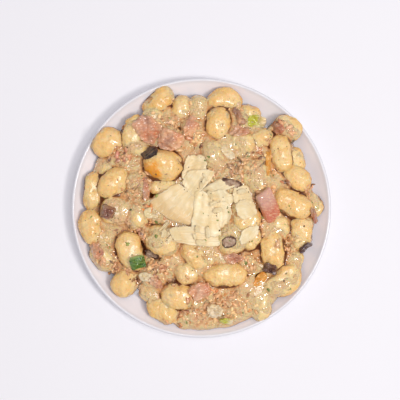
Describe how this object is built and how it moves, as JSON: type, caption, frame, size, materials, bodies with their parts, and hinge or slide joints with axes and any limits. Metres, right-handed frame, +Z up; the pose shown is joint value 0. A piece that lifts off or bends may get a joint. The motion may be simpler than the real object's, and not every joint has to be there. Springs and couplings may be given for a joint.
{
  "type": "plate of potato gnocchi",
  "caption": "Shallow white plate heaped with potato gnocchi in a creamy ham sauce, topped with hard cheese shavings, ham, mushroom and onion.",
  "frame": {"origin": "on the plate's axis, at the plane its foot ring stands on", "axes": "+Z up along the plate's axis; +X and +Y lie in the foot's plane, with +Y towards the wide bare strip of plate at the edge of the heap"},
  "size_m": [0.22, 0.22, 0.0413],
  "materials": {
    "glaze": "gloss",
    "gnocchi": "satin",
    "cheese": "satin",
    "ham": "satin",
    "mushroom": "satin",
    "onion": "satin",
    "spring_onion": "satin",
    "carrot": "satin"
  },
  "bodies": {
    "root": {"plate": "glaze", "gnocchi_heap": "gnocchi", "shaving_long": "cheese", "shaving_broad": "cheese", "shaving_band": "cheese", "shaving_sliver": "cheese", "shaving_back": "cheese", "shaving_right": "cheese", "shaving_upright": "cheese", "shaving_curl_top": "cheese", "shaving_far_right": "cheese", "shaving_rolled": "cheese", "ham_chunk_right": "ham", "ham_slice_left": "ham", "ham_slice_ribbed": "ham", "ham_bit_top": "ham", "ham_strip_corner": "ham", "ham_bit_upper": "ham", "ham_shred_upper": "ham", "ham_cube_left": "ham", "ham_strip_edge": "ham", "ham_chunk_bottom": "ham", "ham_bit_dark": "ham", "ham_bit_centre": "ham", "ham_strip_rim": "ham", "ham_shred_rim": "ham", "ham_shred_low": "ham", "ham_strip_side": "ham", "mushroom_dark": "mushroom", "mushroom_slice": "mushroom", "mushroom_edge": "mushroom", "mushroom_low": "mushroom", "spring_onion": "spring_onion", "onion_corner": "onion", "onion_white": "onion", "onion_green": "onion", "onion_clear": "onion", "onion_low": "onion", "onion_left": "onion", "carrot_strip": "carrot", "carrot_bit": "carrot"}
  },
  "joints": []
}
